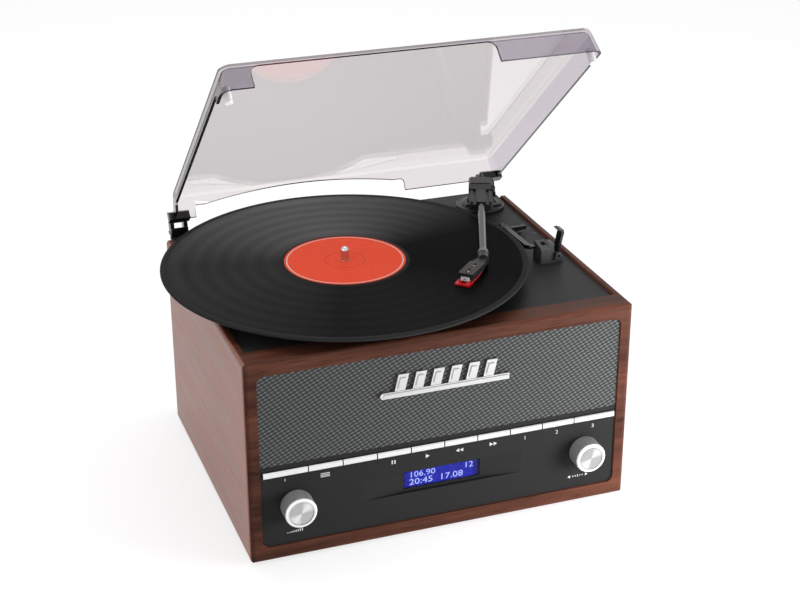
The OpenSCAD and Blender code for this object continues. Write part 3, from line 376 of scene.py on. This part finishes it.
def spun_metal(name, centre_x):
    mat, shader, place = material(name, Metallic=1.0, Roughness=0.28)
    x, _, z, radius = round_knob(place, centre_x)
    # Painted highlight: two opposite bright fans, upper right and lower left, in the base colour.
    painted_highlight_fans = (x * z / (radius * radius) * 2.0).span(0.1, 0.95)
    rings = radius.wave(0.0009)
    tone = painted_highlight_fans * 0.55 + rings * 0.1
    feed(mat, shader, Base_Color=tone.blend((0.42, 0.42, 0.42, 1), (0.98, 0.98, 0.98, 1)),
         Normal=rings.bump(0.00003, 0.4))
    return mat


rim_y, rim_radius, flutes = -0.1412, 0.0112, 60.0


def fluted_metal(name, centre_x):
    """Knob metal: grey fluted sides with painted light and shade on the flutes, a grey front ring
    and a bright rim between them.
    """
    mat, shader, place = material(name, Metallic=0.45, Roughness=0.36)
    x, y, z, radius = round_knob(place, centre_x)
    flute = (z.math("ARCTAN2", x) * flutes).math("SINE") * 0.5 + 0.5
    front = y.math("LESS_THAN", rim_y)
    rim = front * radius.math("GREATER_THAN", rim_radius)
    # Painted light and shade of the flutes: stripes by the angle round the axis, with a random
    # mottle.
    flute_shade_and_mottle = flute * 0.75 + place.noise(700.0) * 0.25
    side = flute_shade_and_mottle.blend((0.24, 0.24, 0.24, 1), (0.78, 0.78, 0.78, 1))
    feed(mat, shader, Base_Color=rim.blend(front.blend(side, (0.62, 0.62, 0.62, 1)), (1, 1, 1, 1)))
    return mat


spun_left, spun_right = spun_metal("spun_left", -knob_x), spun_metal("spun_right", knob_x)
fluted_left = fluted_metal("fluted_left", -knob_x)
fluted_right = fluted_metal("fluted_right", knob_x)

# %% [markdown]
# ## The lit display
# Behind the window a blue panel glows evenly and falls off to dark at its ends, where the lamp
# inside doesn't reach. The characters in front of it glow paler.

# %% Display materials
lit_reach, dark_end = 0.027, 0.0318
lit_blue, lit_shader, place = material("lit_blue", Base_Color=(0.002, 0.002, 0.02, 1),
                                       Roughness=0.5, Specular_IOR_Level=0.1,
                                       Emission_Strength=1.0)
x, _, _ = place.axes()
ends = (x + 0.001).math("ABSOLUTE").span(lit_reach, dark_end)
cloudy = place.noise(90.0).span(0.3, 0.7).blend((0.002, 0.004, 0.33, 1), (0.006, 0.014, 0.42, 1))
feed(lit_blue, lit_shader, Emission_Color=ends.blend(cloudy, (0.0, 0.0, 0.06, 1)))
lit_pale, lit_shader, place = material("lit_pale", Base_Color=(0.1, 0.1, 0.2, 1), Roughness=0.5,
                                       Emission_Strength=1.0)
glow = place.noise(400.0).blend((0.3, 0.4, 0.95, 1), (0.6, 0.72, 1.0, 1))
feed(lit_pale, lit_shader, Emission_Color=glow)

# %% [markdown]
# ## The headshell's top
# The top of the headshell has a fine rough pattern that sparkles a little, so it gets two
# crossing waves in an olive black.

# %% Headshell material
cell_pitch = 0.0034
shell_black, shell_shader, place = material("shell_black", Roughness=0.4, Specular_IOR_Level=0.3)
x, y, _ = place.axes()
cells = (x + y).wave(cell_pitch) * (x - y).wave(cell_pitch)
feed(shell_black, shell_shader, Normal=cells.bump(0.0003, 0.6),
     Base_Color=cells.blend((0.004, 0.004, 0.003, 1), (0.075, 0.075, 0.045, 1)))

# %% [markdown]
# ## Dressing the CAD pieces
# Each CAD node gets its material by name. The pieces are shaded smooth, with every edge sharper
# than the crease angle kept crisp.

# %% Dress the CAD pieces
crease_angle = math.radians(32)
dress = {
    "wood_case": veneer_long_painted_shade, "rear_cover": body_black, "feet": rubber,
    "case_screws": bright_steel, "deck_plate": deck_black, "speaker_baffle": fibre_board,
    "grille_panel": cloth, "trim_bar": silver, "control_fascia": fascia_black,
    "display_window": window_blue, "display_module": lit_blue, "key_board": board_green,
    "volume_pot": bright_steel, "tune_encoder": bright_steel, "main_board": board_green,
    "speaker_baskets": arm_grey, "speaker_cones": cone_paper, "drive_motor": bright_steel,
    "drive_belt": rubber, "bearing_bush": brass, "arm_plinth": arm_black, "arm_rest": rest_grey,
    "hinge_bases": gloss_black, "hinge_pins": bright_steel, "rear_sockets": bright_steel,
    "power_inlet": body_black, "platter": cast_metal, "slip_mat": rubber,
    "spindle": bright_steel, "vinyl_record": vinyl, "record_label": label_paper,
    "motor_pulley": brass, "arm_turret": arm_black, "arm_carrier": arm_black,
    "arm_tube": arm_grey, "headshell": arm_black, "cartridge": shell_grey,
    "stylus_guard": red_plastic, "cue_lever": gloss_black, "lift_platform": gloss_black,
    "arm_clip": gloss_black, "speed_selector": gloss_black, "dust_cover": smoked,
    "hinge_shoes": gloss_black, "bumpers": clear_soft, "volume_knob": fluted_left,
    "volume_cap": spun_left, "tune_shaft": bright_steel, "tune_knob": fluted_right,
    "tune_cap": spun_right,
}
for number in range(1, 11):
    dress[f"key_{number}"] = key_silver
for name, mat in dress.items():
    mesh = nodes[name].data
    mesh.materials.clear()
    mesh.materials.append(mat)
for node in nodes.values():
    node.data.shade_smooth()
    node.data.set_sharp_from_angle(angle=crease_angle)
print("dressed", len(dress), "CAD pieces of", len(nodes))


# %% [markdown]
# ## A second finish on the same piece
# Where one node shows two finishes, a second material goes to the faces that point the right way
# or lie in the right place: a lighter copy of the veneer on the sides and a darker one on the cut
# front edges of the case, as painted light and painted shade, a metal collar and a patterned top
# on the headshell.

# %% Second finishes by face
def second_finish(name, mat, wanted):
    mesh = nodes[name].data
    mesh.materials.append(mat)
    index = len(mesh.materials) - 1
    count = 0
    for face in mesh.polygons:
        if wanted(face.normal, face.center):
            face.material_index = index
            count += 1
    print(name, mat.name, count, "faces")


arm_way = Vector((-math.sin(arm_angle), -math.cos(arm_angle), 0))
collar_end, shell_start = 0.1615, 0.168


def along_arm(point):
    return (point - arm_pivot).dot(arm_way)


# The sides take the lighter copy of the veneer, as painted light, and the front edges the darker
# one, as painted shade.
second_finish("wood_case", veneer_side_painted_light, lambda normal, centre: abs(normal.x) > 0.5)
second_finish("wood_case", veneer_front_painted_shade, lambda normal, centre: normal.y < -0.5)
second_finish("headshell", collar_grey, lambda normal, centre: along_arm(centre) < collar_end)
second_finish("headshell", shell_black,
              lambda normal, centre: along_arm(centre) > shell_start and normal.z > 0.8)

# %% [markdown]
# ## The cover's cut edges and bends
# Clear sheet looks dark where it is cut, because light runs a long way inside it. The walls take
# darker copies of the sheet, the left and front walls darker than the others, and the front and
# left bends darker still, as painted shade. The faces of the cover are sorted in its closed
# position, where walls stand upright and cut edges lie level. A later finish goes over an earlier
# one, so the walls come first and the cut edges last.

# %% Cover edges
unturn = Matrix.Rotation(cover_opening, 3, "X")
side_wall_x, front_wall_y, gap_end_x = 0.146, -0.130, 0.140
bend_low_z, rear_bend_y, rear_bend_z = 0.19, 0.12, 0.195
cut_top_z, gap_front_y, gap_back_y = 0.2010, -0.127, 0.125


def when_closed(normal, centre):
    return unturn @ normal, unturn @ (centre - cover_hinge) + cover_hinge


def is_wall(normal, centre):
    normal, centre = when_closed(normal, centre)
    outer = abs(centre.x) > side_wall_x or centre.y < front_wall_y
    return abs(normal.z) < 0.3 and outer


def is_left_wall(normal, centre):
    normal, centre = when_closed(normal, centre)
    return abs(normal.x) > 0.6 and centre.x < -side_wall_x


def is_front_wall(normal, centre):
    normal, centre = when_closed(normal, centre)
    return abs(normal.y) > 0.6 and centre.y < front_wall_y


def is_bend(normal, centre):
    """The front and left bends, outside and inside, darkened as painted shade. The right one stays
    as clear as the panel.
    """
    normal, centre = when_closed(normal, centre)
    slanting = 0.3 < abs(normal.z) < 0.93 and centre.z > bend_low_z
    return slanting and (centre.x < gap_end_x or abs(normal.x) < 0.2)


def is_rear_bend(normal, centre):
    normal, centre = when_closed(normal, centre)
    slanting = 0.2 < abs(normal.z) < 0.95 and centre.z > rear_bend_z
    return slanting and centre.y > rear_bend_y and abs(centre.x) < side_wall_x


def is_cut(normal, centre):
    normal, centre = when_closed(normal, centre)
    level = normal.z < -0.9 and centre.z < cut_top_z
    across = abs(normal.x) > 0.9 and abs(centre.x) < gap_end_x
    along = abs(normal.y) > 0.9 and gap_front_y < centre.y < gap_back_y
    return level or across or along


second_finish("dust_cover", smoked_wall_painted_shade, is_wall)
second_finish("dust_cover", smoked_left_painted_shade, is_left_wall)
second_finish("dust_cover", smoked_front_painted_shade, is_front_wall)
second_finish("dust_cover", smoked_bend_painted_shade, is_bend)
second_finish("dust_cover", pale_bend, is_rear_bend)
second_finish("dust_cover", smoked_edge, is_cut)


# %% [markdown]
# ## Making a new piece
# Every piece made here starts as a bmesh and ends as a mesh that rides on one body of the part,
# so that it moves with it. Solid forms are shaded like the CAD pieces, and print stays flat.

# %% Helper for new pieces
def add_piece(name, bm, mat, body, smooth=False):
    mesh = bpy.data.meshes.new(name)
    bm.to_mesh(mesh)
    bm.free()
    mesh.materials.append(mat)
    if smooth:
        mesh.shade_smooth()
        mesh.set_sharp_from_angle(angle=crease_angle)
    piece = bpy.data.objects.new(name, mesh)
    bpy.context.scene.collection.objects.link(piece)
    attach(piece, body)
    print(name, len(mesh.polygons), "faces")
    return piece


# %% [markdown]
# ## The shoes of the hinge
# The shoe that holds the cover is a low wedge on the real hinge. Its visible form is made from a
# copy of the CAD piece: the loose triangles are merged, a slanting plane cuts the top away in the
# closed position, and the cut is filled.

# %% Hinge shoes
turn_open = unturn.transposed()
slope_low = Vector((0, 0.126, 0.1868))
slope_way = Vector((0, -0.0060, 0.0140)).normalized()
bm = bmesh.new()
bm.from_mesh(nodes["hinge_shoes"].data)
bmesh.ops.remove_doubles(bm, verts=bm.verts[:], dist=0.000005)
bmesh.ops.bisect_plane(bm, geom=bm.verts[:] + bm.edges[:] + bm.faces[:], dist=0.000001,
                       plane_co=turn_open @ (slope_low - cover_hinge) + cover_hinge,
                       plane_no=turn_open @ slope_way, clear_outer=True)
bmesh.ops.holes_fill(bm, edges=[edge for edge in bm.edges if edge.is_boundary])
bmesh.ops.recalc_face_normals(bm, faces=bm.faces[:])
shoe_form = add_piece("hinge_shoe_form", bm, gloss_black, "cover", smooth=True)
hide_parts("hinge_shoes")

# %% [markdown]
# ## The walls of the hinge bases
# A small upright wall closes each hinge base towards the record. It is a thin moulded plate, so a
# block is brought to size and its edges are rounded by a bevel.

# %% Hinge walls
wall_size = (0.0152, 0.0014, 0.0058)
wall_x, wall_y, wall_z = 0.145, 0.1378, 0.1786
bm = bmesh.new()
for side in (-1, 1):
    made = bmesh.ops.create_cube(bm, size=1)
    bmesh.ops.scale(bm, vec=wall_size, verts=made["verts"])
    bmesh.ops.translate(bm, vec=(side * wall_x, wall_y, wall_z), verts=made["verts"])
bmesh.ops.bevel(bm, geom=bm.edges[:], offset=0.0003, offset_type="OFFSET", affect="EDGES",
                segments=2, profile=0.5, material=-1)
add_piece("hinge_walls", bm, gloss_black, "cabinet", smooth=True)

# %% [markdown]
# ## Making printed marks
# Printed marks are the thinnest pieces: ink a few hundredths of a millimetre high. Digits start
# as text, turned into a mesh before they are placed. Bars and triangles start as bmesh circles
# with four or three corners, given the height of the ink.

# %% Helpers for print
print_height = 0.00004
upright = Matrix.Rotation(math.radians(90), 4, "X")
lying = Matrix.Identity(4)


def digits_into(bm, words, size, place, turn, stretch=1.0, align="CENTER"):
    """Adds figures to a bmesh, lying flat or turned upright."""
    curve = bpy.data.curves.new("digits", "FONT")
    curve.body = words
    curve.size = size
    curve.align_x = align
    curve.align_y = "CENTER"
    curve.extrude = print_height / 2
    curve.resolution_u = 3
    text = bpy.data.objects.new("digits", curve)
    mesh = bpy.data.meshes.new_from_object(text)
    mesh.transform(Matrix.Diagonal((stretch, 1, 1, 1)))
    mesh.transform(Matrix.Translation(place) @ turn)
    bm.from_mesh(mesh)
    bpy.data.objects.remove(text)
    bpy.data.curves.remove(curve)
    bpy.data.meshes.remove(mesh)


def sign_into(bm, corners, radius, place, turn, scale=(1, 1), spin=0.0):
    """Adds a flat sign to a bmesh: 3 corners make a triangle and 4 a bar."""
    shape = bmesh.new()
    bmesh.ops.create_circle(shape, cap_ends=True, segments=corners, radius=radius,
                            matrix=Matrix.Rotation(spin, 4, "Z"))
    raised = bmesh.ops.extrude_face_region(shape, geom=shape.faces[:])
    lifted = [part for part in raised["geom"] if isinstance(part, bmesh.types.BMVert)]
    bmesh.ops.translate(shape, vec=(0, 0, print_height), verts=lifted)
    bmesh.ops.recalc_face_normals(shape, faces=shape.faces[:])
    bmesh.ops.scale(shape, vec=(scale[0], scale[1], 1), verts=shape.verts[:])
    shape.transform(Matrix.Translation(place) @ turn)
    mesh = bpy.data.meshes.new("sign")
    shape.to_mesh(mesh)
    shape.free()
    bm.from_mesh(mesh)
    bpy.data.meshes.remove(mesh)


# %% [markdown]
# ## Marks on the control panel
# Small signs stand under most keys, a digit under each of the last three, and a sign under each
# knob. They are plain signs that any player could carry. The keys have one pitch, and the two at
# the ends are longer.

# %% Key marks
mark_z = 0.0703
key_pitch, second_key_x, last_key_x = 0.028, -0.098, 0.130
key_x = [-0.1302] + [second_key_x + key_pitch * step for step in range(8)] + [last_key_x]
unit_bar_radius = 0.5 * math.sqrt(2)
marks = bmesh.new()


def bar(x, z, width, height):
    sign_into(marks, 4, unit_bar_radius, Vector((x, panel_print_y, z)), upright, (width, height),
              math.pi / 4)


def arrow(x, z, size, way):
    """A triangle that points to the right if way is 1 and to the left if it is -1."""
    sign_into(marks, 3, size, Vector((x, panel_print_y, z)), upright, spin=-math.pi / 2 * way)


bar(key_x[0], mark_z + 0.0018, 0.0007, 0.0020)
for row in (-0.0014, 0, 0.0014):
    bar(key_x[1], mark_z + row, 0.0074, 0.0007)
for side in (-0.0011, 0.0011):
    bar(key_x[3] + side, mark_z, 0.0010, 0.0034)
arrow(key_x[4], mark_z, 0.0021, 1)
for side in (-0.0017, 0.0017):
    arrow(key_x[5] + side, mark_z, 0.0019, -1)
    arrow(key_x[6] + side, mark_z, 0.0019, 1)
for digit, x in zip("123", key_x[7:]):
    digits_into(marks, digit, 0.0048, Vector((x, panel_print_y, mark_z)), upright)

# %% Knob marks
loud_x, loud_z = -0.1295, 0.0243
tune_x, tune_z, tune_reach = 0.1185, 0.0258, 0.0075
for step_up in range(8):
    bar(loud_x + 0.0017 * step_up, loud_z + 0.00015 * step_up, 0.0008, 0.0006 + 0.0003 * step_up)
for way in (-1, 1):
    arrow(tune_x + tune_reach * way, tune_z, 0.0016, way)
for place_in_row in range(-2, 3):
    bar(tune_x + 0.0021 * place_in_row, tune_z, 0.0007, 0.0012 if place_in_row else 0.0022)
add_piece("key_marks", marks, pale_ink, "cabinet")

# %% [markdown]
# ## Figures on the display
# The display shows two lines of figures, such as a frequency, a place in a list, the time and a
# date.

# %% Display figures
line_end_x, upper_line_z, lower_line_z = 0.0275, 0.0526, 0.0460
figures = bmesh.new()
for words, size, x, z, stretch, align in (
        ("106.90", 0.0072, -line_end_x, upper_line_z, 1.15, "LEFT"),
        ("12", 0.0072, line_end_x, upper_line_z, 1.15, "RIGHT"),
        ("20:45  17.08", 0.0076, -line_end_x, lower_line_z, 1.22, "LEFT")):
    digits_into(figures, words, size, Vector((x, display_print_y, z)), upright, stretch, align)
add_piece("display_figures", figures, lit_pale, "cabinet")

# %% [markdown]
# ## Marks by the speed selector
# The three speeds of a turntable are printed on the deck, on a slight arc beside the selector.

# %% Speed marks
speeds = bmesh.new()
for number, x, y in (("33", 0.1462, 0.060), ("45", 0.1478, 0.049), ("78", 0.1480, 0.038)):
    digits_into(speeds, number, 0.0042, Vector((x, y, deck_print_z)), lying)
add_piece("speed_marks", speeds, dim_ink, "cabinet")

# %% [markdown]
# ## Colour rings on the line sockets
# Line sockets carry a red ring for the right channel and a white one for the left. Each is a
# small tube turned round the socket's axis: a short profile with a sloped shoulder, spun all the
# way.

# %% Socket rings
socket_y, socket_z = 0.1465, 0.041
ring_in, ring_out, ring_foot, ring_top = 0.0046, 0.0062, 0.0001, 0.0010
ring_profile = ((ring_in, ring_foot), (ring_out, ring_foot), (ring_out, ring_top - 0.0003),
                (ring_out - 0.0004, ring_top), (ring_in, ring_top))
for name, x, mat in (("socket_ring_red", 0.110, red_gloss),
                     ("socket_ring_white", 0.096, white_gloss)):
    bm = bmesh.new()
    on_axis = Vector((x, socket_y, socket_z))
    corners = [bm.verts.new(on_axis + Vector((out, depth, 0))) for out, depth in ring_profile]
    edges = [bm.edges.new((corners[i - 1], corners[i])) for i in range(len(corners))]
    bmesh.ops.spin(bm, geom=corners + edges, cent=on_axis, axis=(0, 1, 0), angle=2 * math.pi,
                   steps=40, use_merge=True)
    bmesh.ops.remove_doubles(bm, verts=bm.verts[:], dist=0.000001)
    bmesh.ops.recalc_face_normals(bm, faces=bm.faces[:])
    add_piece(name, bm, mat, "cabinet")

# %% [markdown]
# ## Studio
# The ground is white with hardly any shadow. Camera and mirror rays see a world of full white,
# while the world lights the object at about half that and lamps do the rest, so that sides and
# top keep different tones. The floor glows a little for the camera alone and still takes the
# shadow.

# %% World and floor
world_fill = 0.55
floor_reach, floor_grey, floor_glow = 40, 0.42, 0.68
scene = bpy.context.scene
scene.view_settings.view_transform = "Standard"
world = bpy.data.worlds.new("studio")
scene.world = world
world.use_nodes = True
sky = world.node_tree.nodes["Background"]
sky.inputs[0].default_value = (1, 1, 1, 1)


def seen_directly(tree):
    """1 for rays from the camera, mirrors and through glass, 0 for light on the object."""
    rays = tree.nodes.new("ShaderNodeLightPath")
    kinds = ("Is Camera Ray", "Is Glossy Ray", "Is Transmission Ray")
    camera_ray, glossy_ray, glass_ray = (Wire(tree, rays.outputs[kind]) for kind in kinds)
    return camera_ray.math("MAXIMUM", glossy_ray).math("MAXIMUM", glass_ray)


sky_strength = seen_directly(world.node_tree).span(0, 1, world_fill, 1.0)
world.node_tree.links.new(sky_strength.socket, sky.inputs[1])

floor_mesh = bpy.data.meshes.new("floor")
bm = bmesh.new()
bmesh.ops.create_grid(bm, x_segments=1, y_segments=1, size=floor_reach)
bm.to_mesh(floor_mesh)
bm.free()
floor = bpy.data.objects.new("floor", floor_mesh)
scene.collection.objects.link(floor)
floor_mat, floor_shader, _ = material("floor_white", Roughness=0.7, Specular_IOR_Level=0.0,
                                      Emission_Strength=1.0)
seen = seen_directly(floor_mat.node_tree)
feed(floor_mat, floor_shader,
     Base_Color=seen.blend((0.93, 0.93, 0.93, 1), (floor_grey, floor_grey, floor_grey, 1)),
     Emission_Color=seen.blend((0, 0, 0, 1), (floor_glow, floor_glow, floor_glow, 1)))
floor_mesh.materials.append(floor_mat)
print("floor", 2 * floor_reach, "m wide")


# %% [markdown]
# ## Lamps
# Two large soft boxes light the top and the left. A smaller one stands low on the right, close to
# the front, so that the grille and the control panel brighten towards it while the deck stays
# dark. It is kept out of mirrors, because the closed cover would show it as a white patch.

# %% Lamps
def area_light(name, place, aim, size, watts, mirrored=True):
    light = bpy.data.lights.new(name, "AREA")
    light.shape = "RECTANGLE"
    light.size, light.size_y = size
    light.energy = watts
    lamp = bpy.data.objects.new(name, light)
    scene.collection.objects.link(lamp)
    lamp.location = place
    lamp.rotation_euler = (Vector(aim) - Vector(place)).to_track_quat("-Z", "Y").to_euler()
    lamp.visible_camera = False
    lamp.visible_glossy = mirrored
    print(name, watts, "W")


area_light("top_box", (0.1, 0.5, 1.9), (0, 0, 0.1), (1.6, 1.0), 12)
area_light("left_box", (-1.6, -0.6, 1.1), (0, 0, 0.1), (1.2, 1.2), 5)
area_light("right_box", (0.42, -0.45, 0.12), (0.1, -0.13, 0.09), (0.3, 0.22), 5, mirrored=False)

# %% [markdown]
# ## Camera
# The camera was worked out from the ellipse of the record and the corners of the case. It looks
# from the front left, a quarter of the way down, and hardly tilts.

# %% Camera
azimuth, down, roll = math.radians(19.82), math.radians(24.6), math.radians(-0.11)
camera_data = bpy.data.cameras.new("camera")
camera_data.sensor_width = 36
camera_data.lens = 74.9
camera = bpy.data.objects.new("camera", camera_data)
scene.collection.objects.link(camera)
scene.camera = camera
ahead = Vector((math.sin(azimuth) * math.cos(down), math.cos(azimuth) * math.cos(down),
                -math.sin(down)))
tilt = Matrix.Rotation(roll, 3, "Z").to_quaternion()
camera.rotation_euler = (ahead.to_track_quat("-Z", "Y") @ tilt).to_euler()
camera.location = (-0.4204, -1.1919, 0.7273)
print("lens", camera_data.lens, "mm")
